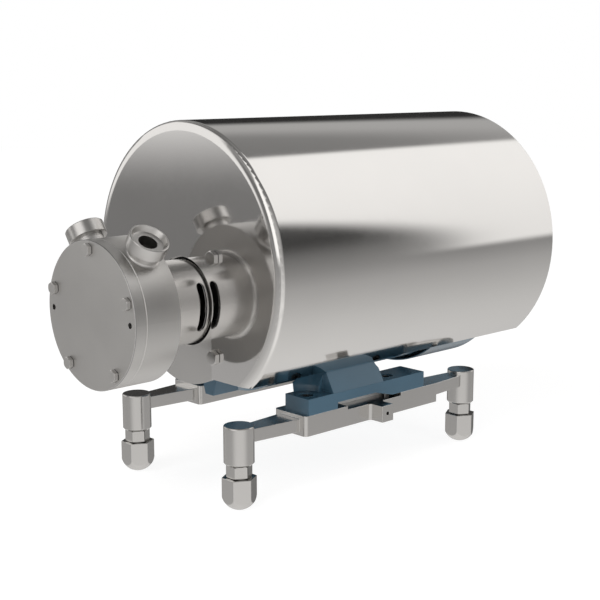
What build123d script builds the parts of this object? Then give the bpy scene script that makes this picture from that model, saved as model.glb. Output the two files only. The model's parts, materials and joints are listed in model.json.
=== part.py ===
from build123d import *
import math
import os

# Shrouded close-coupled peripheral pump on a stainless base, all sizes in millimetres.
# It is modelled with the shaft axis on Y through x = 0, z = 0 and the front face of the
# shroud's plate at y = 0. The pump head points to -Y and the motor to +Y. At the end
# everything moves so that the floor is z = 0 and the origin is under the middle.

# Clearances
thread_gap = 0.05       # radial, between a screw and its hole
turn_gap = 0.03         # radial, between a turning shaft and its bearing
slip_gap = 0.05         # radial, between turned pieces that push together
film_gap = 0.05         # axial, between pieces that run past each other
side_gap = 0.15         # between the impeller and the channel rings
loose_gap = 0.3         # radial, round small sheet screws
shaft_room = 1.0        # radial, between a shaft and a cover it passes
head_flat = 0.96        # a hexagon head's flat top, as a share of its size across flats
over = 1.0              # how far a cutting tool runs past a face

# Layout
shaft_height = 232.0    # floor to shaft axis
motor_height = 132.0    # rail top to shaft axis
motor_face = 10.0       # y of the motor's flange face
foot_hole_x = 108.0     # half the spacing of the motor's foot holes
foot_hole_y = 99.0      # y of the front foot holes
foot_hole_pitch = 140.0

# Impeller and channel
impeller_r = 60.0
impeller_width = 12.0
vane_count = 36
vane_thickness = 2.4
vane_length = 14.0
vane_web = 2.6          # thickness of the web between the two rows of pockets
balance_hole_r = 5.0
balance_pcd = 60.0
channel_gap = 2.5       # beyond the impeller's rim
channel_depth = 6.0
stripper_half = 22.0    # degrees each side of the top where the channel is closed
channel_wall = 3.5

# Pump casing and cover
head_rear = -70.0
head_seam = -116.0
cover_thickness = 15.0
casing_floor = 8.0      # behind the channel rings
edge_chamfer = 0.8
ring_cord_r = 1.2       # casing O-ring
ring_inset = 1.0        # between the cavity and the O-ring groove
ring_squeeze = 0.02
ring_to_bolt = 6.8
bolt_edge = 10.5        # bolt circle to the rim
cover_bolt_count = 5
cover_bolt_length = 30.0
jack_hole_r = 3.4       # M8 tapping hole

# Adapter tube between the casing and the motor
tube_r = 50.8
tube_wall = 3.0
tube_fillet = 5.0
window_y = -9.8
window_width = 11.0
window_height = 57.0
flange_r = 100.0
register_r = 65.0
register_depth = 3.5
relief_depth = 2.5      # groove round the tube in the flange face

# Ports, heights along the port's axis
port_tilt = 35.1        # degrees from vertical
port_y = -94.0
port_bore_r = 11.05
port_stub = 6.0
port_fillet = 3.0
port_neck = 3.3
port_neck_r = 17.5
port_joint = 0.4
port_collar = 16.3
port_collar_r = 23.0
port_recess = 6.3
port_recess_r = 20.8
port_floor_r = 18.0

# Pump shaft and seal
nose_r = 14.0
seat_r = 10.0           # under the impeller
stub_thread_r = 8.0
stub_tip = -113.0
sleeve_r = 29.0
sleeve_front = -40.0
sleeve_rear = 3.0
washer_r = 15.0
washer_thickness = 3.0
impeller_nut_flats = 24.0
nut_room = 11.0         # radial, between the washer and the front channel ring
impeller_nut_height = 8.0
key_width = 10.0
key_height = 8.0
key_end = 4.0           # from the shaft's end to the key
key_stand = 3.3         # how far the key stands out of the shaft
seal_seat_r = 22.0
seal_r = 21.0
seal_face_front = -68.0
seal_spring_front = -60.0
seal_collar_front = -50.0
spring_wire_r = 1.2
spring_turns = 3
grub_r = 4.0
grub_inset = 0.3

# Motor
shaft_end = -36.0
shaft_r = 19.0
journal_r = 20.0
bearing_r = 45.0
bearing_width = 23.0
bearing_depth = 14.0    # from the flange face to the front bearing
hub_wall = 8.0
hub_end = 4.0
rotor_r = 66.0
air_gap = 0.5
rotor_bore_r = 24.0
core_inset = 43.0       # from the frame's front to the core
core_length = 160.0
winding_length = 30.0
winding_gap = 6.0
frame_r = 115.0
frame_wall = 7.0
frame_length = 268.0
fin_height = 6.5
fin_thickness = 3.0
fin_root = 4.0
fin_pitch = 9.0         # degrees
bare_over_feet = (25, 70)   # degrees each side of straight down, without fins
bare_under_box = 30     # degrees each side of straight up
collar_height = 4.5
collar_length = 22.0
rear_ring_length = 25.0
shield_depth = 72.0     # from the flange face to the frame
shield_wall = 8.0
shield_face = 18.0
shield_cone = 22.0
shield_rim = 4.0
rib_front = 28.0          # behind the flange face: drain rib under the shield
rib_half = 7.5
rib_spread = 16.0         # half its width where it meets the shield
spigot_length = 6.0
spigot_wall = 7.0
rear_rim = 8.0
rear_slope = 12.0
shield_screw_inset = 0.2
shield_screw_r = 3.0
shield_screw_hole = 3.3
shield_screw_flats = 10.0
shield_screw_head = 4.0
shield_screw_grip = 12.0
shield_screw_bite = 14.0
shield_tap_depth = 20.0
spot_face_r = 7.0
pad_width = 24.0        # under the frame, where the feet sit
pad_height = 34.0
pad_low = 96.0
pad_inset = 30.0
cowl_gap = 6.2
cowl_wall = 1.5
cowl_overlap = 7.0
cowl_straight = 95.0
cowl_curve = 14.0
cowl_end = 30.0
cowl_end_inset = 15.7
cowl_shoulder = 4.0
cowl_corner = 4.0
grille_slots = 24
grille_slot_width = 6.0
grille_slot_length = 62.0
grille_r = 62.0
cowl_screw_turns = (45, 135, 225, 315)
cowl_screw_r = 2.5
cowl_screw_depth = 12.0
cowl_screw_length = 10.0
cowl_screw_head_r = 4.5
cowl_screw_head = 2.6
cowl_screw_inset = 8.0
cowl_lug_depth = 30.0
cowl_lug_length = 16.0
cowl_lug_width = 18.0
cowl_lug_step = 2.0
fan_r = 100.0
fan_blades = 8
fan_inset = 17.0        # from the rear bearing to the fan
fan_depth = 34.0
fan_bore_r = 14.0
fan_hub_r = 24.0
fan_disc = 3.0
fan_blade_thickness = 3.0

# Terminal box
box_inset = 36.0        # from the frame's front
box_sink = 3.5          # below the top of the fins
box_length = 112.0
box_width = 120.0
box_height = 60.0
box_wall = 5.0
box_corner_r = 8.0
box_post = 14.0
saddle_width = 104.0
saddle_length = 100.0
saddle_height = 30.0
lid_thickness = 6.0
lid_chamfer = 1.5
lid_screw_inset = 11.0
lid_screw_r = 2.0
lid_screw_hole = 2.4
lid_screw_head_r = 3.8
lid_screw_head = 2.4
lid_screw_bite = 12.0
lid_tap_depth = 18.0
board_width = 70.0
board_length = 44.0
board_height = 12.0
stud_r = 3.0
stud_height = 14.0
stud_pitch_x = 22.0
stud_pitch_y = 22.0
gland_thread_r = 12.5
gland_bore_r = 8.0
gland_flats = 30.0
gland_collar = 8.0
gland_cap_r = 13.0
gland_cap = 8.0

# Motor feet
foot_outer = 127.0
foot_inner = 86.0
foot_front = 85.5
foot_rear = 291.0
foot_thickness = 20.0
web_front = 127.0
web_rear = 215.0
web_height = 46.0       # above the rail
web_top_x = 112.6
web_slope = 13.0
foot_body_height = 70.0
foot_body_inner = 78.0
cup_r = 21.0            # recess round each foot hole, at the slab
cup_neck_r = 21.6
cup_mouth_r = 28.0
cup_top_r = 36.0
cup_neck = 7.0          # heights above the slab
cup_mouth = 20.0
arch_front = 134.0      # relief under the foot, seen from the side
arch_flat = 200.0
arch_rear = 231.0
arch_height = 8.0
arch_depth = 28.0
foot_counterbore_r = 9.0
foot_bolt_head_r = 8.0
foot_bolt_head = 10.0
foot_bolt_socket = 8.0
foot_bolt_sink = 1.0
foot_bolt_bite = 18.0
foot_bolt_r = 5.0
foot_hole_r = 6.0

# Shroud
shroud_rise = 41.0      # centre above the shaft axis
shroud_headroom = 15.42  # over the corners of the terminal lid
shroud_length = 500.0
shroud_wall = 2.0
shroud_chord = -86.0
rim_width = 12.0        # from the plate's edge to the outside
rim_turn = 30.0         # degrees that the wide part of the bend turns
rim_r = 5.4             # tight part of the bend
keyhole_gap = 3.2
keyhole_half = 51.5
plate_bolt_pcd = 165.0

# Rails, legs and levelling feet
leg_x = 99.5
leg_pitch = 400.0       # front legs stand at y = 0
leg_r = 18.0
leg_stand = 0.6         # above the rail
leg_bottom = -178.0
leg_chamfer = 2.5
leg_round = 1.2
leg_cap = 5.4           # solid top over the spindle hole
rail_width = 55.0
rail_front = 80.0
rail_length = 240.0
rail_bottom = -157.0
rail_corner_r = 5.0
arm_top = -136.5
arm_bottom = -152.0
arm_half_leg = 10.0
arm_half_rail = 17.5
pocket_front = 151.3
pocket_rear = 247.7
pocket_back = 103.5
pocket_corner_r = 5.0
pocket_floor = -136.4
lug_outer = 147.0
lug_front = 191.8
lug_length = 19.5
lug_fillet = 5.0
earth_hole_r = 2.5
earth_hole_depth = 14.0
spindle_r = 9.0
spindle_top = -145.0
nut_flats = 27.0
nut_height = 15.0
foot_flats = 36.0
foot_gap = 0.3          # between lock nut and levelling foot
foot_dome_r = 21.5
foot_pad_r = 5.0

# Hexagon bolts: M8 on the cover, M10 on the plate
bolt_r = 4.0
bolt_hole_r = 4.5
bolt_flats = 13.0
bolt_head = 5.3
plate_bolt_r = 5.0
plate_bolt_hole_r = 5.5
plate_bolt_flats = 16.0
plate_bolt_head = 6.4
plate_bolt_bite = 16.0

# Sizes that follow
impeller_front = port_y - impeller_width / 2
impeller_rear = port_y + impeller_width / 2
vane_root_r = impeller_r - vane_length
channel_r = impeller_r + channel_gap
channel_root_r = vane_root_r - over
cavity_r = channel_r + channel_wall
cavity_rear = head_rear - casing_floor
ring_mean_r = cavity_r + ring_inset + ring_cord_r
cover_bolt_pcd = 2 * (ring_mean_r + ring_to_bolt)
head_r = cover_bolt_pcd / 2 + bolt_edge
cover_front = head_seam - cover_thickness
front_end = cover_front - bolt_head
port_stub_top = head_r + port_stub
port_collar_low = port_stub_top + port_neck
port_mouth = port_collar_low + port_collar
port_floor = port_mouth - port_recess
tube_inner_r = tube_r - tube_wall
keyhole_r = tube_r + keyhole_gap
flange_front = shroud_wall
front_bearing = motor_face + bearing_depth
frame_front = motor_face + shield_depth
frame_rear = frame_front + frame_length
collar_r = frame_r + collar_height
collar_rear = frame_front + collar_length
rear_ring_front = frame_rear - rear_ring_length
shield_r = frame_r + fin_height
stator_r = frame_r - frame_wall
shield_screw_pcd = 2 * (frame_r - shield_screw_inset)
core_front = frame_front + core_inset
core_rear = core_front + core_length
rear_bearing = frame_rear + film_gap
fan_front = rear_bearing + bearing_width + fan_inset
cowl_r = shield_r + cowl_gap
cowl_front = frame_rear + cowl_overlap
cowl_bend = cowl_front + cowl_straight
cowl_rear = cowl_bend + cowl_end
cowl_end_r = cowl_r - cowl_end_inset
box_front = frame_front + box_inset
box_rear = box_front + box_length
box_low = shield_r - box_sink
box_top = box_low + box_height
lid_top = box_top + lid_thickness
gland_z = box_low + box_height / 2
rail_top = -motor_height
rail_inner = leg_x - rail_width / 2
rail_outer = leg_x + rail_width / 2
slab_top = rail_top + foot_thickness
web_top_z = rail_top + web_height
foot_body_top = rail_top + foot_body_height
leg_top = rail_top + leg_stand
floor_z = -shaft_height
shroud_r = math.hypot(box_width / 2, lid_top - shroud_rise) + shroud_headroom + shroud_wall
plate_r = shroud_r - rim_width
middle_y = (front_end + shroud_length) / 2


# Building blocks

def facing(y, x=0, z=0):
    """Plane across the shaft at y, with its own x and y along X and Z."""
    return Plane(origin=(x, y, z), x_dir=(1, 0, 0), z_dir=(0, -1, 0))


def level(z, x=0, y=0):
    """Horizontal plane at height z."""
    return Plane(origin=(x, y, z), x_dir=(1, 0, 0), z_dir=(0, 0, 1))


def along_y(sketch, y0, y1, x=0, z=0):
    """Prism of a sketch between two places along the shaft."""
    return extrude(facing(y1, x, z) * sketch, y1 - y0)


def rod(radius, y0, y1, x=0, z=0):
    """Cylinder parallel to the shaft."""
    return along_y(Circle(radius), y0, y1, x, z)


def ring(outer, inner, y0, y1):
    """Ring round the shaft."""
    return rod(outer, y0, y1) - rod(inner, y0 - over, y1 + over)


def post(radius, z0, z1, x=0, y=0):
    """Upright cylinder."""
    return extrude(level(z0, x, y) * Circle(radius), z1 - z0)


def block(x0, x1, y0, y1, z0, z1):
    """Box between two corners."""
    box = Box(x1 - x0, y1 - y0, z1 - z0, align=(Align.MIN, Align.MIN, Align.MIN))
    return Pos(x0, y0, z0) * box


def turned(points):
    """Solid turned about the shaft from (radius, y) points."""
    return revolve(make_face(Polyline(*points, close=True)), Axis.Y)


def turned_upright(points):
    """Solid turned about Z from (radius, z) points."""
    return revolve(make_face(Plane.XZ * Polyline(*points, close=True)), Axis.Z)


def polar(radius, degrees):
    """Place on a circle round the shaft."""
    angle = math.radians(degrees)
    return radius * math.cos(angle), radius * math.sin(angle)


def spots(pcd, count, first=90.0):
    """Evenly spaced places on a bolt circle."""
    return [polar(pcd / 2, first + 360.0 / count * i) for i in range(count)]


def hexagon(flats, turn=0.0):
    """Hexagon by its size across flats."""
    return RegularPolygon(flats / 2, 6, major_radius=False, rotation=turn)


def crowned(flats, height, both=False, turn=0.0):
    """Hexagon prism on z = 0 whose top corners, or both ends' corners, are turned off."""
    corner = flats / math.sqrt(3)
    drop = (corner - flats / 2) / 2
    flat_r = head_flat * flats / 2
    start = [(0, 0), (flat_r, 0), (corner, drop)] if both else [(0, 0), (corner, 0)]
    blank = turned_upright(start + [(corner, height - drop), (flat_r, height), (0, height)])
    return extrude(hexagon(flats, turn), height) & blank


def hex_bolt(x, z, seat_y, length, flats, head, radius):
    """Hexagon bolt along the shaft whose head stands to -Y of seat_y."""
    top = facing(seat_y, x, z) * crowned(flats, head, turn=30)
    return top + rod(radius, seat_y - head / 2, seat_y + length, x, z)


def both_sides(solid):
    """The solid and its mirror image in the x = 0 plane, as a list."""
    return [solid, mirror(solid, Plane.YZ)]


parts = {}


# Pump casing: drum with two port stubs

def port_plane(side):
    """Frame of a port: its own z leaves the shaft axis along the port."""
    tilt = math.radians(port_tilt) * side
    return Plane(origin=(0, port_y, 0), x_dir=(math.cos(tilt), 0, -math.sin(tilt)),
                 z_dir=(math.sin(tilt), 0, math.cos(tilt)))


def port_rod(side, radius, low, high):
    """Cylinder on a port's axis between two heights."""
    return port_plane(side) * Pos(0, 0, low) * extrude(Circle(radius), high - low)


def make_casing():
    drum = rod(head_r, head_seam, head_rear)
    drum = chamfer(drum.edges().filter_by(GeomType.CIRCLE).sort_by(Axis.Y)[0], edge_chamfer)
    for side in (-1, 1):
        drum += port_rod(side, port_neck_r, cavity_r, port_stub_top)
    joints = [edge for edge in drum.edges() if edge.geom_type not in (GeomType.LINE, GeomType.CIRCLE)]
    body = fillet(joints, port_fillet)
    body -= rod(cavity_r, head_seam - over, cavity_rear)
    body -= rod(seal_seat_r + slip_gap, cavity_rear - over, head_rear + over)
    body -= ring(ring_mean_r + ring_cord_r, ring_mean_r - ring_cord_r, head_seam, head_seam + 2 * ring_cord_r)
    tap_end = cover_front + cover_bolt_length + over
    for x, z in spots(cover_bolt_pcd, cover_bolt_count):
        body -= rod(bolt_r + thread_gap, head_seam - over, tap_end, x, z)
    for side in (-1, 1):
        body -= port_rod(side, port_bore_r, channel_root_r, port_stub_top + over)
    return body


# Motor adapter: tube with two windows between a welded foot and the motor flange

def make_adapter():
    bend = tube_fillet * (1 - math.sqrt(0.5))
    flare_y = head_rear + tube_fillet
    relief_y = flange_front + relief_depth
    register_y = motor_face - register_depth - slip_gap
    flare = ThreePointArc(
        (tube_r + tube_fillet, head_rear), (tube_r + bend, head_rear + bend), (tube_r, flare_y))
    outline = Polyline(
        (tube_r, flare_y), (tube_r, relief_y), (keyhole_r, relief_y), (keyhole_r, flange_front),
        (flange_r, flange_front), (flange_r, motor_face), (register_r + slip_gap, motor_face),
        (register_r + slip_gap, register_y), (tube_inner_r, register_y), (tube_inner_r, head_rear),
        (tube_r + tube_fillet, head_rear))
    body = revolve(make_face(flare.edges() + outline.edges()), Axis.Y)
    window = Plane.YZ * SlotOverall(window_height, window_width, rotation=90)
    body -= Pos(0, window_y, 0) * extrude(window, 2 * tube_r, both=True)
    for x, z in spots(plate_bolt_pcd, 4, 45):
        body -= rod(plate_bolt_hole_r, flange_front - over, motor_face + over, x, z)
    return body


# Union ports: turned pieces that stand on the casing's stubs

def make_union(side):
    lip = edge_chamfer
    profile = [
        (port_bore_r, port_stub_top), (port_neck_r - port_joint, port_stub_top),
        (port_neck_r, port_stub_top + port_joint), (port_neck_r, port_collar_low),
        (port_collar_r - lip, port_collar_low), (port_collar_r, port_collar_low + lip),
        (port_collar_r, port_mouth - lip), (port_collar_r - lip, port_mouth),
        (port_recess_r, port_mouth), (port_floor_r, port_floor), (port_bore_r, port_floor),
    ]
    return port_plane(side) * turned_upright(profile)


def make_cover():
    cover = rod(head_r, cover_front, head_seam)
    cover = chamfer(cover.edges().filter_by(GeomType.CIRCLE), edge_chamfer)
    for x, z in spots(cover_bolt_pcd, cover_bolt_count):
        cover -= rod(bolt_hole_r, cover_front - over, head_seam + over, x, z)
    for x, z in spots(cover_bolt_pcd, 2, 0):
        cover -= rod(jack_hole_r, cover_front - over, head_seam + over, x, z)
    return cover


# Channel rings: two halves that close round the impeller and leave a side channel

def channel_sector(y0, y1):
    """Ring sector of the side channel, open except at the stripper on top."""
    half = make_face(Polyline((channel_root_r, y0), (channel_r, y0), (channel_r, y1),
                              (channel_root_r, y1), close=True))
    sector = revolve(half, Axis.Y, revolution_arc=360 - 2 * stripper_half)
    return Rot(0, stripper_half - 90, 0) * sector


def make_channel_ring(y0, y1, pocket0, pocket1, channel0, channel1, bore_r):
    body = ring(cavity_r - slip_gap, bore_r, y0, y1)
    body -= rod(impeller_r + side_gap, pocket0, pocket1)
    body -= channel_sector(channel0, channel1)
    for side in (-1, 1):
        body -= port_rod(side, port_bore_r, (channel_root_r + channel_r) / 2, cavity_r + over)
    return body


# Peripheral impeller: radial vanes milled into both faces of the rim

def make_impeller():
    wheel = rod(impeller_r, impeller_front, impeller_rear)
    wheel -= ring(impeller_r + over, vane_root_r, impeller_front - over, port_y - vane_web / 2)
    wheel -= ring(impeller_r + over, vane_root_r, port_y + vane_web / 2, impeller_rear + over)
    vane = Box(vane_length + 2 * over, impeller_width, vane_thickness,
               align=(Align.MIN, Align.CENTER, Align.CENTER))
    vane = Pos(vane_root_r - over, port_y, 0) * vane
    vanes = [Rot(0, 360 / vane_count * i, 0) * vane for i in range(vane_count)]
    wheel += Compound(vanes) & ring(impeller_r, vane_root_r - over, impeller_front, impeller_rear)
    wheel -= rod(seat_r + slip_gap, impeller_front - over, impeller_rear + over)
    for x, z in spots(balance_pcd, 4, 45):
        wheel -= rod(balance_hole_r, impeller_front - over, impeller_rear + over, x, z)
    return wheel


# Pump shaft: hollow stub that slips over the motor shaft

def make_stub():
    stub = turned([
        (0, stub_tip), (stub_thread_r, stub_tip), (stub_thread_r, impeller_front),
        (seat_r, impeller_front), (seat_r, impeller_rear), (nose_r, impeller_rear),
        (nose_r, sleeve_front), (sleeve_r, sleeve_front), (sleeve_r, sleeve_rear), (0, sleeve_rear),
    ])
    stub -= rod(shaft_r + slip_gap, shaft_end - film_gap, sleeve_rear + over)
    stub -= key_blank(slip_gap)
    for side in (-1, 1):
        stub -= across(side, grub_r + thread_gap, shaft_r - over, sleeve_r + over)
    return stub


def key_blank(gap):
    """Coupling key, or the space for it when a gap is given for its sides and top."""
    half = key_width / 2 + gap
    low = shaft_r + key_stand - key_height
    return block(-half, half, shaft_end + key_end, sleeve_rear - key_end, low, low + key_height + gap)


def across(side, radius, x0, x1):
    """Cylinder along X, on one side, in line with the windows."""
    plane = Plane(origin=(side * x0, window_y, 0), z_dir=(side, 0, 0))
    return plane * extrude(Circle(radius), x1 - x0)


def make_motor_shaft():
    front_seat_end = front_bearing + bearing_width
    rear_seat_end = rear_bearing + bearing_width
    shaft = turned([
        (0, shaft_end), (shaft_r, shaft_end), (shaft_r, motor_face), (journal_r, motor_face),
        (journal_r, front_seat_end), (rotor_bore_r, front_seat_end), (rotor_bore_r, rear_bearing),
        (journal_r, rear_bearing), (journal_r, rear_seat_end), (fan_bore_r, rear_seat_end),
        (fan_bore_r, fan_front + fan_depth), (0, fan_front + fan_depth),
    ])
    return shaft - key_blank(slip_gap)


def make_seal_spring():
    rest = 2 * film_gap
    height = seal_collar_front - seal_spring_front - 2 * spring_wire_r - rest
    path = Helix(height / spring_turns, height, (nose_r + seal_r) / 2)
    wire = Plane(origin=path @ 0, z_dir=path % 0) * Circle(spring_wire_r)
    coil = sweep(wire, path=path, is_frenet=True)
    start = seal_spring_front + spring_wire_r + rest / 2
    return Plane(origin=(0, start, 0), z_dir=(0, 1, 0)) * coil


# Motor end shields, frame and cowl

def make_front_shield():
    hub_rear = front_bearing + bearing_width
    face_rear = motor_face + shield_face
    cone_rear = frame_front - shield_rim
    cone_front = cone_rear - shield_cone
    spigot_r = stator_r - slip_gap
    inner_r = stator_r - spigot_wall
    shield = turned([
        (journal_r + shaft_room, motor_face - register_depth), (register_r, motor_face - register_depth),
        (register_r, motor_face), (flange_r, motor_face), (flange_r, cone_front),
        (shield_r, cone_rear), (shield_r, frame_front), (spigot_r, frame_front),
        (spigot_r, frame_front + spigot_length), (inner_r, frame_front + spigot_length),
        (inner_r, cone_rear - shield_rim), (flange_r - shield_wall, cone_front + shield_rim),
        (flange_r - shield_wall, face_rear), (bearing_r + hub_wall, face_rear),
        (bearing_r + hub_wall, hub_rear), (bearing_r + slip_gap, hub_rear),
        (bearing_r + slip_gap, front_bearing - slip_gap), (journal_r + shaft_room, front_bearing - slip_gap),
    ])
    for x, z in spots(plate_bolt_pcd, 4, 45):
        shield -= rod(plate_bolt_r + thread_gap, motor_face - over, face_rear + over, x, z)
    seat = frame_front - shield_screw_grip
    for x, z in spots(shield_screw_pcd, 4, 45):
        shield -= rod(shield_screw_hole, seat - over, frame_front + over, x, z)
        shield -= rod(spot_face_r, seat - shield_screw_grip, seat, x, z)
    rib_top = shield_wall / 2 - flange_r
    rib_low = -(frame_r + fin_height)
    rib = make_face(Polyline(
        (-rib_half, rib_low), (rib_half, rib_low), (rib_spread, rib_top), (-rib_spread, rib_top), close=True))
    return shield + along_y(rib, motor_face + rib_front, cone_rear)


def make_rear_shield():
    hub_front = rear_bearing - hub_end
    hub_rear = rear_bearing + bearing_width
    spigot_r = stator_r - slip_gap
    spigot_front = frame_rear - spigot_length
    rim_rear = frame_rear + rear_rim
    shield = turned([
        (shield_r, frame_rear), (shield_r, rim_rear), (shield_r - rear_slope, rim_rear + rear_slope),
        (bearing_r + hub_wall, hub_rear + hub_end), (journal_r + shaft_room, hub_rear + hub_end),
        (journal_r + shaft_room, hub_rear + slip_gap), (bearing_r + slip_gap, hub_rear + slip_gap),
        (bearing_r + slip_gap, hub_front), (bearing_r + hub_wall, hub_front),
        (bearing_r + hub_wall, rim_rear), (stator_r - rear_slope, rim_rear - hub_end),
        (stator_r - spigot_wall, spigot_front), (spigot_r, spigot_front), (spigot_r, frame_rear),
    ])
    reach = cowl_r - cowl_wall - slip_gap
    lug = Box(cowl_lug_depth, cowl_lug_length, cowl_lug_width, align=(Align.MAX, Align.MIN, Align.CENTER))
    lug = Pos(reach + over, frame_rear + cowl_lug_step, 0) * lug
    for degrees in cowl_screw_turns:
        shield += Rot(0, -degrees, 0) * lug & rod(reach, frame_rear, cowl_bend)
        shield -= cowl_screw_blank(degrees, cowl_screw_r + thread_gap, cowl_screw_depth)
    seat = frame_rear + shield_screw_grip
    for x, z in spots(shield_screw_pcd, 4, 0):
        shield -= rod(shield_screw_hole, frame_rear - over, seat + over, x, z)
        shield -= rod(spot_face_r, seat, seat + shield_screw_grip, x, z)
    return shield


def cowl_screw_plane(degrees, outward):
    """Plane on the cowl at a screw, facing away from or toward the shaft."""
    x, z = polar(1, degrees)
    normal = (x, 0, z) if outward else (-x, 0, -z)
    return Plane(origin=(x * cowl_r, cowl_front + cowl_screw_inset, z * cowl_r), z_dir=normal)


def cowl_screw_blank(degrees, radius, depth):
    """Radial cylinder for a cowl screw."""
    return cowl_screw_plane(degrees, False) * extrude(Circle(radius), depth)


def make_cowl_screw(degrees):
    head = cowl_screw_plane(degrees, True) * extrude(Circle(cowl_screw_head_r), cowl_screw_head)
    return head + cowl_screw_blank(degrees, cowl_screw_r, cowl_screw_length)


def make_frame():
    frame = rod(frame_r, frame_front, frame_rear)
    frame += rod(collar_r, frame_front, collar_rear)
    frame += rod(shield_r, rear_ring_front, frame_rear)
    fin = Box(fin_height + fin_root, rear_ring_front - collar_rear, fin_thickness,
              align=(Align.MAX, Align.MIN, Align.CENTER))
    fin = Pos(shield_r, collar_rear, 0) * fin
    for i in range(int(360 / fin_pitch)):
        degrees = (i + 0.5) * fin_pitch
        over_foot = bare_over_feet[0] < abs(degrees - 270) < bare_over_feet[1]
        under_box = abs(degrees - 90) < bare_under_box
        if not over_foot and not under_box:
            frame += Rot(0, -degrees, 0) * fin
    saddle_y = (box_front + box_rear) / 2
    saddle = Box(saddle_width, saddle_length, saddle_height, align=(Align.CENTER, Align.CENTER, Align.MAX))
    frame += Pos(0, saddle_y, box_low) * saddle
    pad = block(foot_body_inner, foot_body_inner + pad_width, foot_front + pad_inset,
                foot_rear - pad_inset, -pad_low, pad_height - pad_low)
    for piece in both_sides(pad & rod(shield_r, foot_front, foot_rear)):
        frame += piece
    frame -= rod(stator_r, frame_front - over, frame_rear + over)
    tap_r = shield_screw_r + thread_gap
    for x, z in spots(shield_screw_pcd, 4, 45):
        frame -= rod(tap_r, frame_front - over, frame_front + shield_tap_depth, x, z)
    for x, z in spots(shield_screw_pcd, 4, 0):
        frame -= rod(tap_r, frame_rear - shield_tap_depth, frame_rear + over, x, z)
    return frame


def make_shield_screws():
    sizes = (shield_screw_grip + shield_screw_bite, shield_screw_flats, shield_screw_head, shield_screw_r)
    screws = []
    for x, z in spots(shield_screw_pcd, 4, 45):
        screws.append(hex_bolt(x, z, frame_front - shield_screw_grip, *sizes))
    for x, z in spots(shield_screw_pcd, 4, 0):
        screw = mirror(hex_bolt(x, z, 0, *sizes), Plane.XZ)
        screws.append(Pos(0, frame_rear + shield_screw_grip, 0) * screw)
    return screws


def make_cowl():
    def skin(inset):
        """Points of the cowl's skin, set in by the wall or not at all."""
        return [
            (cowl_r - inset, cowl_front), (cowl_r - inset, cowl_bend - inset * 0.1),
            (cowl_r - cowl_shoulder - inset, cowl_bend + cowl_curve - inset * 0.4),
            (cowl_end_r + cowl_corner - inset, cowl_rear - cowl_corner - inset * 0.7),
            (cowl_end_r - inset * 0.4, cowl_rear - inset), (0, cowl_rear - inset),
        ]

    cowl = turned(skin(0) + skin(cowl_wall)[::-1])
    slot = Pos(grille_r, 0, 0) * SlotOverall(grille_slot_length, grille_slot_width)
    for i in range(grille_slots):
        slot_face = facing(cowl_rear + over) * Rot(0, 0, 360 / grille_slots * i) * slot
        cowl -= extrude(slot_face, cowl_wall + 2 * over)
    for degrees in cowl_screw_turns:
        cowl -= cowl_screw_blank(degrees, cowl_screw_r + loose_gap, cowl_screw_depth)
    return cowl


def make_fan():
    fan = ring(fan_hub_r, fan_bore_r + slip_gap, fan_front, fan_front + fan_depth)
    fan += ring(fan_r, fan_hub_r - over, fan_front + over, fan_front + over + fan_disc)
    blade = Box(fan_r - fan_hub_r, fan_depth - 2 * over, fan_blade_thickness,
                align=(Align.MIN, Align.MIN, Align.CENTER))
    blade = Pos(fan_hub_r - over, fan_front + over, 0) * blade
    for i in range(fan_blades):
        fan += Rot(0, 360 / fan_blades * i, 0) * blade
    return fan


# Motor feet: castings with a slanted web between two recessed bolt holes

def make_foot():
    foot = block(foot_inner, foot_outer, foot_front, foot_rear, rail_top, slab_top)
    edge = edge_chamfer / 2
    section = make_face(Polyline(
        (foot_inner, slab_top - over), (foot_outer - edge, slab_top - over), (foot_outer - edge, slab_top),
        (web_top_x, web_top_z), (web_top_x - web_slope, foot_body_top), (foot_body_inner, foot_body_top),
        close=True))
    hole_rear = foot_hole_y + foot_hole_pitch
    body = along_y(section, foot_hole_y, hole_rear)
    reach = foot_outer - foot_hole_x
    for hole_y, web_y in ((foot_hole_y, web_front), (hole_rear, web_rear)):
        cup = turned_upright([
            (0, slab_top), (cup_r, slab_top), (cup_neck_r, slab_top + cup_neck),
            (cup_mouth_r, slab_top + cup_mouth), (cup_top_r, foot_body_top + over), (0, foot_body_top + over)])
        body -= Pos(foot_hole_x, hole_y, 0) * cup
        corner = make_face(Polyline(
            (foot_hole_x, hole_y), (foot_hole_x, web_y), (foot_outer + reach, web_y),
            (foot_outer + reach, hole_y), close=True))
        body -= extrude(level(slab_top) * corner, foot_body_height)
    foot += body
    foot -= rod(shield_r + film_gap, foot_front - over, foot_rear + over)
    arch = make_face(Plane.YZ * Polyline(
        (arch_front, rail_top - over), (arch_front, rail_top + arch_height),
        (arch_flat, rail_top + arch_height), (arch_rear, rail_top), (arch_rear, rail_top - over),
        close=True))
    foot -= Pos(foot_outer - arch_depth, 0, 0) * extrude(arch, arch_depth + over, dir=(1, 0, 0))
    sink = slab_top - foot_bolt_head - foot_bolt_sink
    for y in (foot_hole_y, hole_rear):
        foot -= post(foot_hole_r, rail_top - over, slab_top + over, foot_hole_x, y)
        foot -= post(foot_counterbore_r, sink, slab_top + over, foot_hole_x, y)
    return foot


def make_foot_bolt(x, y):
    head_low = slab_top - foot_bolt_head - foot_bolt_sink
    head = post(foot_bolt_head_r, head_low, head_low + foot_bolt_head, x, y)
    socket = extrude(level(head_low + foot_bolt_head / 2, x, y) * hexagon(foot_bolt_socket), foot_bolt_head)
    return head - socket + post(foot_bolt_r, rail_top - foot_bolt_bite, head_low, x, y)


# Terminal box with its board, lid and gland

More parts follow.
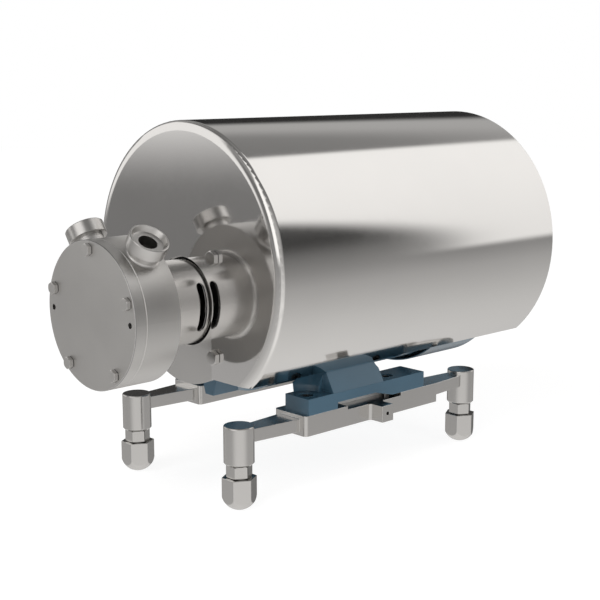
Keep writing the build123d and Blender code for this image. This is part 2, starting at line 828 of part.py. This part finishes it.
def make_terminal_box():
    half = box_width / 2
    body = block(-half, half, box_front, box_rear, box_low, box_top)
    body = fillet(body.edges().filter_by(Axis.Z), box_corner_r)
    body -= block(box_wall - half, half - box_wall, box_front + box_wall, box_rear - box_wall,
                  box_low + box_wall, box_top + over)
    corner = Box(box_post, box_post, box_height - box_wall, align=(Align.CENTER, Align.CENTER, Align.MAX))
    for x, y in lid_screw_spots():
        body += Pos(x, y, box_top) * corner
        body -= post(lid_screw_r + thread_gap, box_top - lid_tap_depth, box_top + over, x, y)
    return body - rod(gland_thread_r + thread_gap, box_rear - 2 * box_wall, box_rear + over, 0, gland_z)


def lid_screw_spots():
    half = box_width / 2 - lid_screw_inset
    ys = (box_front + lid_screw_inset, box_rear - lid_screw_inset)
    return [(x, y) for x in (-half, half) for y in ys]


def make_lid():
    half = box_width / 2
    lid = block(-half, half, box_front, box_rear, box_top, lid_top)
    lid = fillet(lid.edges().filter_by(Axis.Z), box_corner_r)
    lid = chamfer(lid.faces().sort_by(Axis.Z)[-1].edges(), lid_chamfer)
    for x, y in lid_screw_spots():
        lid -= post(lid_screw_hole, box_top - over, lid_top + over, x, y)
    return lid


def make_lid_screw(x, y):
    head = post(lid_screw_head_r, lid_top, lid_top + lid_screw_head, x, y)
    return head + post(lid_screw_r, box_top - lid_screw_bite, lid_top, x, y)


def make_terminal_board():
    middle = (box_front + box_rear) / 2
    low = box_low + box_wall
    board = Box(board_width, board_length, board_height, align=(Align.CENTER, Align.CENTER, Align.MIN))
    board = Pos(0, middle, low) * board
    top = low + board_height
    for x in (-stud_pitch_x, 0, stud_pitch_x):
        for y in (-stud_pitch_y / 2, stud_pitch_y / 2):
            board += post(stud_r, top - over, top + stud_height, x, middle + y)
    return board


def make_gland():
    collar_end = box_rear + gland_collar
    gland = facing(collar_end, 0, gland_z) * crowned(gland_flats, gland_collar)
    gland += rod(gland_cap_r, collar_end, collar_end + gland_cap, 0, gland_z)
    gland += rod(gland_thread_r, box_rear - box_wall, collar_end - over, 0, gland_z)
    return gland - rod(gland_bore_r, box_front, collar_end + gland_cap + over, 0, gland_z)


# Shroud: bent shell with a rounded front rim, and the front plate with its keyhole

def rim_arcs(inset):
    """The two arcs of the bend from the front plane to the side, and where they end."""
    turn = math.radians(rim_turn)
    wide_r = (rim_width - rim_r * (1 - math.sin(turn))) / math.sin(turn)
    depth = wide_r * (1 - math.cos(turn)) + rim_r * math.cos(turn)
    wide = CenterArc((plate_r, wide_r), wide_r - inset, -90, rim_turn)
    tight = CenterArc((shroud_r - rim_r, depth), rim_r - inset, rim_turn - 90, 90 - rim_turn)
    return wide.edges() + tight.edges(), depth


def make_shell():
    inner = shroud_r - shroud_wall
    outer_arcs, depth = rim_arcs(0)
    inner_arcs, depth = rim_arcs(shroud_wall)
    sides = Polyline((shroud_r, depth), (shroud_r, shroud_length), (inner, shroud_length), (inner, depth))
    edge = Line((plate_r, shroud_wall), (plate_r, 0))
    section = make_face(outer_arcs + sides.edges() + inner_arcs + edge.edges())
    return Pos(0, 0, shroud_rise) * revolve(section, Axis.Y) - below_chord()


def below_chord():
    """Everything under the shroud's flat cut."""
    return block(-2 * shroud_r, 2 * shroud_r, -over, shroud_length + over, -2 * shroud_r, shroud_chord)


def make_front_plate():
    plate = rod(plate_r, 0, shroud_wall, 0, shroud_rise) - below_chord()
    plate -= rod(keyhole_r, -over, shroud_wall + over)
    plate -= block(-keyhole_half, keyhole_half, -over, shroud_wall + over, shroud_chord - over, 0)
    for x, z in spots(plate_bolt_pcd, 4, 45):
        plate -= rod(plate_bolt_hole_r, -over, shroud_wall + over, x, z)
    return plate


# Rails: castings with a thick middle, tapered arms, leg sockets and an earthing lug

def make_rail():
    rail_rear = rail_front + rail_length
    middle = block(rail_inner, rail_outer, rail_front, rail_rear, rail_bottom, rail_top)
    middle = fillet(middle.edges().filter_by(Axis.Z), rail_corner_r)
    arms = make_face(Polyline(
        (leg_x - arm_half_leg, 0), (leg_x + arm_half_leg, 0), (leg_x + arm_half_rail, rail_front),
        (leg_x + arm_half_rail, rail_rear), (leg_x + arm_half_leg, leg_pitch),
        (leg_x - arm_half_leg, leg_pitch), (leg_x - arm_half_rail, rail_rear),
        (leg_x - arm_half_rail, rail_front), close=True))
    rail = middle + extrude(level(arm_bottom) * arms, arm_top - arm_bottom)
    for y in (0, leg_pitch):
        leg = post(leg_r, leg_bottom, leg_top, leg_x, y)
        leg = chamfer(leg.edges().filter_by(GeomType.CIRCLE).sort_by(Axis.Z)[0], leg_chamfer)
        rail += fillet(leg.edges().filter_by(GeomType.CIRCLE).sort_by(Axis.Z)[-1], leg_round)
    for y in (0, leg_pitch):
        rail -= post(spindle_r + thread_gap, leg_bottom - over, leg_top - leg_cap, leg_x, y)
    pocket = block(pocket_back, 2 * rail_outer - pocket_back, pocket_front, pocket_rear, pocket_floor, leg_top)
    rail -= fillet(pocket.edges().filter_by(Axis.Z), pocket_corner_r)
    for y in (foot_hole_y, foot_hole_y + foot_hole_pitch):
        tap_low = rail_top - foot_bolt_bite - over
        rail -= post(foot_bolt_r + thread_gap, tap_low, rail_top + over, foot_hole_x, y)
    rail += make_lug()
    hole = Plane(origin=(lug_outer, lug_front + lug_length / 2, (rail_bottom + pocket_floor) / 2),
                 z_dir=(-1, 0, 0)) * extrude(Circle(earth_hole_r), earth_hole_depth)
    return rail - hole


def make_lug():
    lug = block(rail_outer - over, lug_outer, lug_front, lug_front + lug_length, rail_bottom, pocket_floor)
    size = lug_fillet
    for away, y in ((-1, lug_front), (1, lug_front + lug_length)):
        low, high = sorted((y, y + away * size))
        corner = block(rail_outer - over, rail_outer + size, low, high, rail_bottom, pocket_floor)
        cove = post(size, rail_bottom - over, pocket_floor + over, rail_outer + size, y + away * size)
        lug += corner - cove
    return lug


def make_lock_nut(x, y):
    low = leg_bottom - nut_height
    nut = level(low, x, y) * crowned(nut_flats, nut_height, both=True)
    return nut - post(spindle_r + thread_gap, low - over, leg_bottom + over, x, y)


def make_levelling_foot(x, y):
    top = leg_bottom - nut_height - foot_gap
    rise = math.sqrt(foot_dome_r ** 2 - foot_pad_r ** 2)
    prism = extrude(level(floor_z, x, y) * hexagon(foot_flats), top - floor_z)
    dome = Pos(x, y, floor_z + rise) * Sphere(foot_dome_r) + post(foot_dome_r, floor_z + rise, top, x, y)
    return (prism & dome) + post(spindle_r, top - over, spindle_top, x, y)


# Pump head nodes
parts["front_cover"] = make_cover()
parts["cover_bolts"] = [
    hex_bolt(x, z, cover_front, cover_bolt_length, bolt_flats, bolt_head, bolt_r)
    for x, z in spots(cover_bolt_pcd, cover_bolt_count)]
parts["pump_casing"] = make_casing()
parts["motor_adapter"] = make_adapter()
parts["inlet_union"] = make_union(1)
parts["outlet_union"] = make_union(-1)
parts["casing_o_ring"] = Plane(
    origin=(0, head_seam + ring_cord_r, 0), z_dir=(0, 1, 0)) * Torus(ring_mean_r, ring_cord_r - ring_squeeze)
parts["front_channel_ring"] = make_channel_ring(
    head_seam, port_y, impeller_front - side_gap, port_y + over,
    impeller_front - channel_depth, port_y + over, washer_r + nut_room)
parts["rear_channel_ring"] = make_channel_ring(
    port_y, cavity_rear, port_y - over, impeller_rear + side_gap,
    port_y - over, impeller_rear + channel_depth, nose_r + 2 * shaft_room)
parts["impeller"] = make_impeller()
washer_front = impeller_front - washer_thickness
parts["impeller_washer"] = ring(washer_r, stub_thread_r + slip_gap, washer_front, impeller_front)
parts["impeller_nut"] = facing(washer_front) * crowned(impeller_nut_flats, impeller_nut_height) - rod(
    stub_thread_r + thread_gap, stub_tip - over, washer_front + over)
parts["pump_shaft"] = make_stub()
parts["coupling_key"] = key_blank(0)
parts["stub_set_screws"] = [
    across(side, grub_r, shaft_r + slip_gap, sleeve_r - grub_inset) for side in (-1, 1)]
parts["seal_seat"] = ring(seal_seat_r, nose_r + shaft_room, cavity_rear, seal_face_front)
parts["seal_face"] = ring(seal_r, nose_r + slip_gap, seal_face_front + film_gap, seal_spring_front)
parts["seal_spring"] = make_seal_spring()
parts["seal_collar"] = ring(seal_r, nose_r + slip_gap, seal_collar_front, sleeve_front)

# Motor nodes
winding_outer_r = stator_r - winding_gap
winding_inner_r = rotor_r + winding_gap
parts["front_end_shield"] = make_front_shield()
parts["motor_frame"] = make_frame()
parts["rear_end_shield"] = make_rear_shield()
parts["end_shield_screws"] = make_shield_screws()
parts["stator_core"] = ring(stator_r - slip_gap, rotor_r + air_gap, core_front, core_rear)
parts["stator_windings"] = [
    ring(winding_outer_r, winding_inner_r, core_front - winding_length, core_front),
    ring(winding_outer_r, winding_inner_r, core_rear, core_rear + winding_length)]
parts["rotor_core"] = ring(rotor_r, rotor_bore_r + slip_gap, core_front, core_rear)
parts["motor_shaft"] = make_motor_shaft()
parts["front_bearing"] = ring(
    bearing_r, journal_r + turn_gap, front_bearing, front_bearing + bearing_width)
parts["rear_bearing"] = ring(bearing_r, journal_r + turn_gap, rear_bearing, rear_bearing + bearing_width)
parts["cooling_fan"] = make_fan()
parts["fan_cowl"] = make_cowl()
parts["cowl_screws"] = [make_cowl_screw(degrees) for degrees in cowl_screw_turns]
parts["motor_foot_right"], parts["motor_foot_left"] = both_sides(make_foot())
parts["foot_bolts"] = [
    make_foot_bolt(side * foot_hole_x, foot_hole_y + step)
    for side in (-1, 1) for step in (0, foot_hole_pitch)]
parts["terminal_box"] = make_terminal_box()
parts["terminal_board"] = make_terminal_board()
parts["terminal_lid"] = make_lid()
parts["lid_screws"] = [make_lid_screw(x, y) for x, y in lid_screw_spots()]
parts["cable_gland"] = make_gland()

# Shroud and base nodes
parts["shroud_shell"] = make_shell()
parts["shroud_front_plate"] = make_front_plate()
parts["plate_bolts"] = [
    hex_bolt(x, z, 0, motor_face + plate_bolt_bite, plate_bolt_flats, plate_bolt_head, plate_bolt_r)
    for x, z in spots(plate_bolt_pcd, 4, 45)]
parts["rail_right"], parts["rail_left"] = both_sides(make_rail())
leg_spots = {
    "front_right": (leg_x, 0), "front_left": (-leg_x, 0),
    "rear_right": (leg_x, leg_pitch), "rear_left": (-leg_x, leg_pitch)}
parts["lock_nuts"] = [make_lock_nut(x, y) for x, y in leg_spots.values()]
for place, (x, y) in leg_spots.items():
    parts[f"levelling_foot_{place}"] = make_levelling_foot(x, y)

# Every node moves into the frame with the floor at z = 0 and is written out
os.makedirs("parts", exist_ok=True)
home = Pos(0, -middle_y, shaft_height)
for name, shape in parts.items():
    solids = shape if isinstance(shape, list) else [shape]
    solids = [solid for piece in solids for solid in (home * piece).solids()]
    node = solids[0] if len(solids) == 1 else Compound(solids)
    node.label = name
    export_step(node, os.path.join("parts", name + ".step"))
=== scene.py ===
import json
import math

import bpy
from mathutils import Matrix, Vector

# Looks of the shrouded peripheral pump. Metres, floor at z = 0, shaft along Y.

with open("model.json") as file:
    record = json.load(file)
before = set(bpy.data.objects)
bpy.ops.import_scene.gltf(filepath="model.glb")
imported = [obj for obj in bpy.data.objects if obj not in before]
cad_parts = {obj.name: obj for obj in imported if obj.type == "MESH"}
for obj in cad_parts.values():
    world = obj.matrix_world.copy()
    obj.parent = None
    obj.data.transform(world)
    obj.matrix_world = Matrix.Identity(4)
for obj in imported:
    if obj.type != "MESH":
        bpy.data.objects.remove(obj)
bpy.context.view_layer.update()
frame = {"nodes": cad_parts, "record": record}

# Places on the object that look different from the rest of their piece

SHAFT_Z = 0.232
SPIGOT_Y = -0.1716      # the motor's flange face; the spigot stands in front of it
PLATE_Y = -0.1816       # the front plate's front face
COVER_Y = -0.3126       # the pump cover's front face
COVER_CHAMFER = 0.0008
SHADE_LINE_HEIGHT = 0.0008    # painted shade line under the heads of the bolts on both faces
RELIEF_R = 0.0531       # groove round the tube, seen through the gap in the front plate; its shadow is painted nearly black
RELIEF_Y = -0.1797
TUBE_BORE_R = 0.0485
POCKET_X = 0.1035       # back wall of the pocket in each rail
POCKET_Y = (-0.0303, 0.0661)
POCKET_Z = 0.0957
WALL_SLACK = 0.0005     # to either side of that wall
FACE_SLACK = 0.00003    # keeps the chamfer's mask off the face beside it

# Shading

USUAL = (0.3, 0.7)              # where most of a noise's values lie
PEEL_USUAL = (0.35, 0.65)
EDGE_LIKENESS = (0.8, 0.99)     # rounded normal against the true one, on an edge and on a flat
BEVEL_SAMPLES = 6
# colour of painted shade in the tube's groove and under the bolt heads
PAINTED_SHADE_BLACK = 0.01
GRAIN_DEPTH = 0.0001
PEEL_DEPTH = 0.0002
SPECKLE_DEPTH = 0.0002
LACQUER = {"Coat Weight": 0.35, "Coat Roughness": 0.1}

# Camera, lamps and floor

CAMERA_PLACE = (1.13685, -1.06474, 0.49806)
CAMERA_AIM = (0.14775, -0.13049, 0.24692)
CAMERA_LENS = 73.493
CAMERA_SENSOR = 36.0
CAMERA_NEAR = 0.05
LAMPS = [
    # name, place, aim, size, watts
    ("key", (0.3, -1.6, 2.0), (0, 0, 0.2), 1.6, 22),
    ("side", (1.9, 0.3, 0.45), (0, 0, 0.1), 1.0, 9),
]
FLOOR_RADIUS = 7.0
FLOOR_CORNERS = 96
FLOOR_COLOR = (0.3, 0.3, 0.3, 1)
FLOOR_LIFT = 0.86       # the floor's own light, which keeps it nearly white

# Studio, as the polished steel sees it. Azimuths are degrees from the motor's end towards the
# right, heights are degrees above the horizon, and an edge is (where, softness).

WHITE = (1, 1, 1, 1)
STUDIO_TINT = (1.0, 0.985, 0.97, 1)
LEVELS = [
    # height, brightness
    (-90, 0.86), (-48, 0.76), (-34, 0.65), (-14, 0.45), (-5, 0.31), (3, 0.21),
    (12, 0.18), (26, 0.33), (45, 0.25), (65, 0.17), (90, 0.3),
]
GLOW_SIDE = (0.81, -0.53, -0.24)    # towards the brightest part of the floor
GLOW_FROM = 0.45                    # how nearly a direction has to point there
GLOW = 0.31
PANELS = [
    # left, right, low and high edge, brightness
    ((-80, 8), (-6, 8), (-28, 3), (-5, 3), 0.17),
    ((210, 6), (256, 6), (-11, 2), (-3, 2), 0.22),
    ((-48, 5), (-7, 3), (23, 4), (36, 5), 0.46),
    ((-75, 4), (-7, 4), (-3, 3), (22, 4), 0.03),
    ((36, 4), (56, 6), (8, 6), (28, 5), 0.06),
    ((214, 4), (262, 4), (-3, 2.5), (34, 4), 1.05),
    ((141, 13), (192, 3), (-2, 3), (50, 5), 1.33),
]

# The tall panel behind the motor. Its right end is slanted: an edge in x less a share of y.

TALL_LEFT = (-7, 2.5)
TALL_RIGHT = (0.412, 0.034)
TALL_SLANT = 0.3
TALL_LOW = (-3, 2)
TALL_HIGH = (68, 5)
TALL_BEHIND = (0, 0.1)      # an edge in y
TALL_FULL = 50              # height from which it has its full brightness
TALL_LIGHT = (1.04, 1.14)   # at the horizon and at that height


class Nodes:
    """Short calls for building a node tree."""

    def __init__(self, tree):
        self.tree = tree
        tree.nodes.clear()

    def new(self, kind, inputs=None, **settings):
        """A node with its settings, and a socket or a fixed value for each input given."""
        node = self.tree.nodes.new(kind)
        for name, value in settings.items():
            setattr(node, name, value)
        for name, source in (inputs or {}).items():
            if isinstance(source, bpy.types.NodeSocket):
                self.tree.links.new(source, node.inputs[name])
            else:
                node.inputs[name].default_value = source
        return node

    def math(self, operation, a, b=0.0):
        return self.new("ShaderNodeMath", {0: a, 1: b}, operation=operation).outputs[0]

    def product(self, first, *others):
        for other in others:
            first = self.math("MULTIPLY", first, other)
        return first

    def between(self, value, low, high):
        return self.product(self.math("GREATER_THAN", value, low), self.math("LESS_THAN", value, high))

    def dot(self, a, b):
        return self.new("ShaderNodeVectorMath", {0: a, 1: b}, operation="DOT_PRODUCT").outputs["Value"]

    def smooth(self, value, low, high, to_low=0.0, to_high=1.0):
        """Eased step of a value from to_low at low to to_high at high."""
        inputs = {"Value": value, "From Min": low, "From Max": high, "To Min": to_low, "To Max": to_high}
        return self.new("ShaderNodeMapRange", inputs, interpolation_type="SMOOTHSTEP").outputs["Result"]

    def step_up(self, value, edge):
        where, soft = edge
        return self.smooth(value, where - soft, where + soft)

    def step_down(self, value, edge):
        where, soft = edge
        return self.smooth(value, where - soft, where + soft, 1.0, 0.0)

    def curve(self, value, points):
        """Straight steps between (position, number) points."""
        first, last = points[0][0], points[-1][0]
        share = self.math("DIVIDE", self.math("SUBTRACT", value, first), last - first)
        node = self.new("ShaderNodeFloatCurve", {"Value": share})
        line = node.mapping.curves[0]
        while len(line.points) < len(points):
            line.points.new(0.5, 0.5)
        for point, (position, number) in zip(line.points, points):
            point.location = ((position - first) / (last - first), number)
            point.handle_type = "VECTOR"
        node.mapping.update()
        return node.outputs[0]

    def mix(self, factor, a, b):
        return self.new("ShaderNodeMix", {0: factor, 2: a, 3: b}, data_type="FLOAT").outputs[0]

    def mix_color(self, factor, a, b):
        """Mix of two colours, each a socket or (red, green, blue)."""
        a, b = ((*color, 1.0) if isinstance(color, tuple) else color for color in (a, b))
        return self.new("ShaderNodeMix", {0: factor, 6: a, 7: b}, data_type="RGBA").outputs[2]

    def place(self, output="Object"):
        """The part's own coordinates, or another output of the same node."""
        return self.new("ShaderNodeTexCoord").outputs[output]

    def split(self, vector):
        return self.new("ShaderNodeSeparateXYZ", {0: vector}).outputs

    def noise(self, scale, stretch=(1, 1, 1), detail=4):
        """Noise in the part's own coordinates, stretched along its axes."""
        mapping = self.new("ShaderNodeMapping", {"Vector": self.place(), "Scale": stretch})
        inputs = {"Vector": mapping.outputs["Vector"], "Scale": scale, "Detail": detail}
        return self.new("ShaderNodeTexNoise", inputs).outputs["Fac"]

    def bevel(self, radius):
        """The normal with softly rounded edges, and a mask of those edges."""
        soft = self.new("ShaderNodeBevel", {"Radius": radius}, samples=BEVEL_SAMPLES).outputs["Normal"]
        true = self.new("ShaderNodeNewGeometry").outputs["Normal"]
        return soft, self.smooth(self.dot(soft, true), *EDGE_LIKENESS, 1.0, 0.0)

    def bump(self, height, strength, distance, **normal):
        inputs = {"Height": height, "Strength": strength, "Distance": distance, **normal}
        return self.new("ShaderNodeBump", inputs).outputs["Normal"]

    def finish(self, shader, output="ShaderNodeOutputMaterial"):
        self.new(output, {"Surface": shader.outputs[0]})

    def principled(self, color, metallic, roughness, normal, **more):
        inputs = {"Base Color": color, "Metallic": metallic, "Roughness": roughness, "Normal": normal}
        self.finish(self.new("ShaderNodeBsdfPrincipled", {**inputs, **more}))


# Masks of those places

def along(n):
    return n.split(n.place())["Y"]


def axis_distance(n):
    x, y, z = n.split(n.place())
    up = n.math("SUBTRACT", z, SHAFT_Z)
    return n.math("SQRT", n.math("ADD", n.product(x, x), n.product(up, up)))


def relief_painted_shadow(n):
    """The groove round the tube, behind the front plate, with its shadow painted nearly black."""
    behind = n.math("GREATER_THAN", along(n), RELIEF_Y)
    return n.product(n.math("LESS_THAN", axis_distance(n), RELIEF_R), behind)


def in_tube(n):
    """The tube's bore, seen through its windows."""
    return n.math("LESS_THAN", axis_distance(n), TUBE_BORE_R)


def shade_under_heads(n):
    """Painted shade line where a bolt's head meets the cover or the front plate."""
    y = along(n)
    return n.math("ADD", *(n.between(y, seat - SHADE_LINE_HEIGHT, seat) for seat in (COVER_Y, PLATE_Y)))


def on_cover(n):
    """Whatever stands on the cover's face: the heads of its bolts."""
    return n.math("LESS_THAN", along(n), COVER_Y)


def cover_edge_painted_shade(n):
    """The small chamfer round the cover's front face, darkened with painted shade to tone down its bright
    reflection.
    """
    return n.between(along(n), COVER_Y + FACE_SLACK, COVER_Y + COVER_CHAMFER)


def in_pocket(n):
    """The upright back wall of the pocket in each rail, left as cast."""
    x, y, z = n.split(n.place())
    wall = n.between(n.math("ABSOLUTE", x), POCKET_X - WALL_SLACK, POCKET_X + WALL_SLACK)
    return n.product(wall, n.between(y, *POCKET_Y), n.math("GREATER_THAN", z, POCKET_Z))


# Materials, kept by the names of the record's slots. Gloss is the roughness, from and to.

materials = {}


def new_material(name):
    material = bpy.data.materials.new(name)
    material.use_nodes = True
    materials[name] = material
    return Nodes(material.node_tree)


def shades(color, low, high):
    """A darker and a lighter shade of a colour."""
    return tuple(c * low for c in color), tuple(min(1.0, c * high) for c in color)


def steel(name, color, gloss, grain=0.05, grain_scale=400, stretch=(1, 1, 1), cloud=0.03, edge=0.0004,
          wear=0.25, painted_shade_at=None, shade=PAINTED_SHADE_BLACK, dull_at=None, dull_gloss=0.4, dull_metal=1.0):
    """Steel with grain, cloudy colour, uneven gloss and worn, softly rounded edges.

    The first mask paints shade onto places as a grey of their own; the second gives places a gloss
    of their own and less metal in them.
    """
    n = new_material(name)
    normal, edges = n.bevel(edge)
    clouds = n.noise(scale=9)
    worn = tuple(c + (1 - c) * wear for c in color)
    body = n.mix_color(n.smooth(clouds, *USUAL), *shades(color, 1 - cloud, 1 + cloud))
    body = n.mix_color(edges, body, worn)
    # painted shade: the mask's places take a flat grey in place of the steel's colour
    if painted_shade_at:
        body = n.mix_color(painted_shade_at(n), body, (shade, shade, shade))
    fine = n.noise(grain_scale, stretch)
    rough = n.smooth(n.mix(0.5, fine, clouds), *USUAL, *gloss)
    rough = n.mix(edges, rough, gloss[0])
    metal = 1.0
    if dull_at:
        mask = dull_at(n)
        rough = n.mix(mask, rough, dull_gloss)
        if dull_metal < 1.0:
            metal = n.mix(mask, 1.0, dull_metal)
    n.principled(body, metal, rough, n.bump(fine, grain, GRAIN_DEPTH, Normal=normal))


def paint(name, color, bare, gloss=(0.22, 0.27), edge=0.0012):
    """Sprayed gloss paint with orange peel, thinner on the edges and left off the machined spigot."""
    n = new_material(name)
    normal, edges = n.bevel(edge)
    clouds = n.noise(scale=14, detail=5)
    thin = tuple(c * 1.5 for c in color)
    body = n.mix_color(n.smooth(clouds, *USUAL), *shades(color, 0.94, 1.05))
    body = n.mix_color(edges, body, thin)
    machined = n.math("LESS_THAN", along(n), SPIGOT_Y)
    body = n.mix_color(machined, body, bare)
    peel = n.noise(scale=220, detail=2)
    rough = n.smooth(n.mix(0.6, peel, clouds), *PEEL_USUAL, *gloss)
    n.principled(body, machined, rough, n.bump(peel, 0.03, PEEL_DEPTH, Normal=normal), **LACQUER)


def moulded(name, color, gloss, speckle_scale=600, relief=0.2, metallic=0.0):
    """Plastic, rubber, ceramic, carbon and lacquered copper, with a fine speckle."""
    n = new_material(name)
    speckle = n.noise(speckle_scale)
    body = n.mix_color(n.smooth(speckle, *USUAL), *shades(color, 0.8, 1.2))
    rough = n.smooth(speckle, *USUAL, *gloss)
    n.principled(body, metallic, rough, n.bump(speckle, relief, SPECKLE_DEPTH))


# The cover's chamfer is painted a darker grey, as shade over its reflection
steel("pump_steel", (0.62, 0.61, 0.595), (0.36, 0.44), grain=0.06, grain_scale=900, edge=0.0002,
      wear=0.05, painted_shade_at=cover_edge_painted_shade, shade=0.33)
# Painted shadow, nearly black, in the groove round the tube
steel("tube_steel", (0.68, 0.67, 0.655), (0.22, 0.26), grain=0.015, grain_scale=500, stretch=(1, 12, 1),
      wear=0.15, painted_shade_at=relief_painted_shadow, dull_at=in_tube, dull_gloss=0.6, dull_metal=0.0)
steel("union_steel", (0.6, 0.59, 0.575), (0.27, 0.33), grain=0.02, grain_scale=500, edge=0.0005, wear=0.6)
# Painted shade, nearly black, in a thin line at the foot of each bolt head
steel("fastener_steel", (0.62, 0.61, 0.595), (0.13, 0.18), grain=0.02, grain_scale=500, edge=0.0003,
      painted_shade_at=shade_under_heads, dull_at=on_cover)
steel("shroud_steel", (0.74, 0.73, 0.715), (0.07, 0.11), grain=0.015, grain_scale=120,
      stretch=(1, 12, 1), cloud=0.01)
steel("mirror_steel", (0.74, 0.73, 0.72), (0.06, 0.09), grain=0.01, grain_scale=200, cloud=0.01)
steel("base_steel", (0.64, 0.63, 0.615), (0.16, 0.22), grain=0.015, grain_scale=500, cloud=0.02,
      edge=0.001, dull_at=in_pocket, dull_gloss=0.6, dull_metal=0.0)
paint("motor_blue", (0.039, 0.094, 0.141), bare=(0.3, 0.29, 0.28))
steel("screw_steel", (0.2, 0.2, 0.2), (0.25, 0.38), grain=0.1, grain_scale=500)
steel("shaft_steel", (0.58, 0.57, 0.56), (0.18, 0.28), grain=0.1, grain_scale=300, stretch=(1, 30, 1))
steel("channel_steel", (0.66, 0.65, 0.64), (0.2, 0.3), grain=0.1, grain_scale=300, stretch=(1, 20, 1))
steel("core_steel", (0.22, 0.22, 0.23), (0.4, 0.55), grain=0.2, grain_scale=200, stretch=(1, 60, 1))
moulded("winding_copper", (0.55, 0.22, 0.09), (0.25, 0.4), speckle_scale=220, relief=0.5, metallic=1.0)
moulded("seal_ceramic", (0.82, 0.8, 0.74), (0.15, 0.25))
moulded("seal_carbon", (0.05, 0.05, 0.05), (0.3, 0.45))
moulded("ring_rubber", (0.02, 0.02, 0.02), (0.5, 0.7))
moulded("black_plastic", (0.03, 0.03, 0.033), (0.35, 0.5))

for entry in frame["record"]["subparts"]:
    thing = frame["nodes"][entry["node"]]
    thing.data.materials.clear()
    thing.data.materials.append(materials[entry["material_slot"]])

# The unions share the tube's slot, but have a softer finish
for name in ("inlet_union", "outlet_union"):
    frame["nodes"][name].data.materials[0] = materials["union_steel"]


# Studio

def studio_level(n):
    """Brightness of each direction: a level by height, a glow and the panels, later ones in front."""
    direction = n.place("Generated")
    x, y, z = n.split(direction)
    degrees = 180 / math.pi
    turned = n.product(n.math("ARCTAN2", n.product(y, -1), x), degrees)
    azimuth = n.math("ADD", turned, 90)
    height = n.product(n.math("ARCSINE", z), degrees)
    glow = n.smooth(n.dot(direction, GLOW_SIDE), GLOW_FROM, 1.0, 0.0, GLOW)
    level = n.math("ADD", n.curve(height, LEVELS), glow)
    for left, right, low, high, brightness in PANELS:
        mask = n.product(n.step_up(azimuth, left), n.step_down(azimuth, right),
                         n.step_up(height, low), n.step_down(height, high))
        level = n.mix(mask, level, brightness)
    slant = n.math("SUBTRACT", x, n.product(y, TALL_SLANT))
    mask = n.product(n.step_up(azimuth, TALL_LEFT), n.step_down(slant, TALL_RIGHT),
                     n.step_up(height, TALL_LOW), n.step_down(height, TALL_HIGH),
                     n.step_up(y, TALL_BEHIND))
    return n.mix(mask, level, n.smooth(height, 0, TALL_FULL, *TALL_LIGHT))


def studio_world():
    """White to the camera and through glass, and the studio to every other ray."""
    world = bpy.data.worlds.new("studio")
    bpy.context.scene.world = world
    world.use_nodes = True
    n = Nodes(world.node_tree)
    rays = n.new("ShaderNodeLightPath").outputs
    seen = n.math("MAXIMUM", rays["Is Camera Ray"], rays["Is Transmission Ray"])
    studio = n.new("ShaderNodeBackground", {"Color": STUDIO_TINT, "Strength": studio_level(n)})
    white = n.new("ShaderNodeBackground", {"Color": WHITE})
    both = n.new("ShaderNodeMixShader", {0: seen, 1: studio.outputs[0], 2: white.outputs[0]})
    n.finish(both, "ShaderNodeOutputWorld")


def floor():
    """Pale floor with a faint shadow. The steel sees the studio's own floor light instead."""
    bpy.ops.mesh.primitive_circle_add(vertices=FLOOR_CORNERS, radius=FLOOR_RADIUS, fill_type="NGON",
                                      location=(0, 0, 0))
    plane = bpy.context.object
    plane.name = "studio_floor"
    plane.visible_glossy = False
    n = new_material("studio_floor")
    diffuse = n.new("ShaderNodeBsdfDiffuse", {"Color": FLOOR_COLOR})
    lift = n.new("ShaderNodeEmission", {"Strength": FLOOR_LIFT})
    n.finish(n.new("ShaderNodeAddShader", {0: diffuse.outputs[0], 1: lift.outputs[0]}))
    plane.data.materials.append(materials["studio_floor"])


def put(name, data, place, aim):
    """A lamp or camera in its place, looking at a point."""
    thing = bpy.data.objects.new(name, data)
    bpy.context.scene.collection.objects.link(thing)
    thing.location = place
    thing.rotation_euler = (Vector(aim) - Vector(place)).to_track_quat("-Z", "Y").to_euler()
    return thing


def lamp(name, place, aim, size, watts):
    data = bpy.data.lights.new(name, "AREA")
    data.shape = "DISK"
    data.size = size
    data.energy = watts
    put(name, data, place, aim).visible_glossy = False


def camera():
    data = bpy.data.cameras.new("camera")
    data.sensor_width = CAMERA_SENSOR
    data.lens = CAMERA_LENS
    data.clip_start = CAMERA_NEAR
    bpy.context.scene.camera = put("camera", data, CAMERA_PLACE, CAMERA_AIM)


studio_world()
floor()
for row in LAMPS:
    lamp(*row)
camera()
bpy.context.scene.view_settings.view_transform = "Standard"
